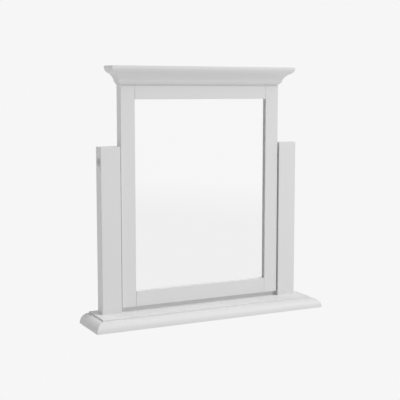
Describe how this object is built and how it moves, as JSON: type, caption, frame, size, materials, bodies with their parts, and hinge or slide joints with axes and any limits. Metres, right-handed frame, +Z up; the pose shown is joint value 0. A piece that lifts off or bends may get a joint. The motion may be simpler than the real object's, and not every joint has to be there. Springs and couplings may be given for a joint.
{
  "type": "trinket mirror",
  "caption": "Free-standing swing mirror: a framed glass under a mitred cornice tilts between square posts on a moulded base board.",
  "frame": {"origin": "middle of the footprint, on the surface that the felt pads stand on", "axes": "+X to the right seen from the front, +Y from front to back, +Z up"},
  "size_m": [0.58, 0.115, 0.581],
  "materials": {
    "painted_wood": "satin paint",
    "mirror": "silvered glass",
    "back_board": "bare hardboard",
    "beech": "bare wood",
    "zinc_steel": "zinc plate",
    "dark_steel": "dark plate",
    "insert_brass": "turned brass",
    "nylon": "matte grey nylon",
    "rubber": "matte grey rubber",
    "felt": "felt"
  },
  "bodies": {
    "stand": {"base_board": "painted_wood", "left_post": "painted_wood", "right_post": "painted_wood", "post_screws": "zinc_steel", "felt_pads": "felt", "left_pivot_bush": "nylon", "right_pivot_bush": "nylon", "left_head_washer": "dark_steel", "right_head_washer": "dark_steel", "left_pivot_plug": "painted_wood", "right_pivot_plug": "painted_wood"},
    "mirror_frame": {"left_stile": "painted_wood", "right_stile": "painted_wood", "top_rail": "painted_wood", "bottom_rail": "painted_wood", "cornice_front": "painted_wood", "cornice_left_return": "painted_wood", "cornice_right_return": "painted_wood", "rail_dowels": "beech", "mirror_glass": "mirror", "back_panel": "back_board", "back_panel_screws": "zinc_steel", "left_pivot_bolt": "dark_steel", "left_insert_nut": "insert_brass", "left_friction_washer": "rubber", "right_pivot_bolt": "dark_steel", "right_insert_nut": "insert_brass", "right_friction_washer": "rubber"}
  },
  "joints": [
    {"name": "mirror_tilt", "type": "hinge", "parent": "stand", "child": "mirror_frame", "pos_m": [0, 0.02525, 0.3695], "axis": [1, 0, 0], "range_deg": [-45, 45]}
  ]
}
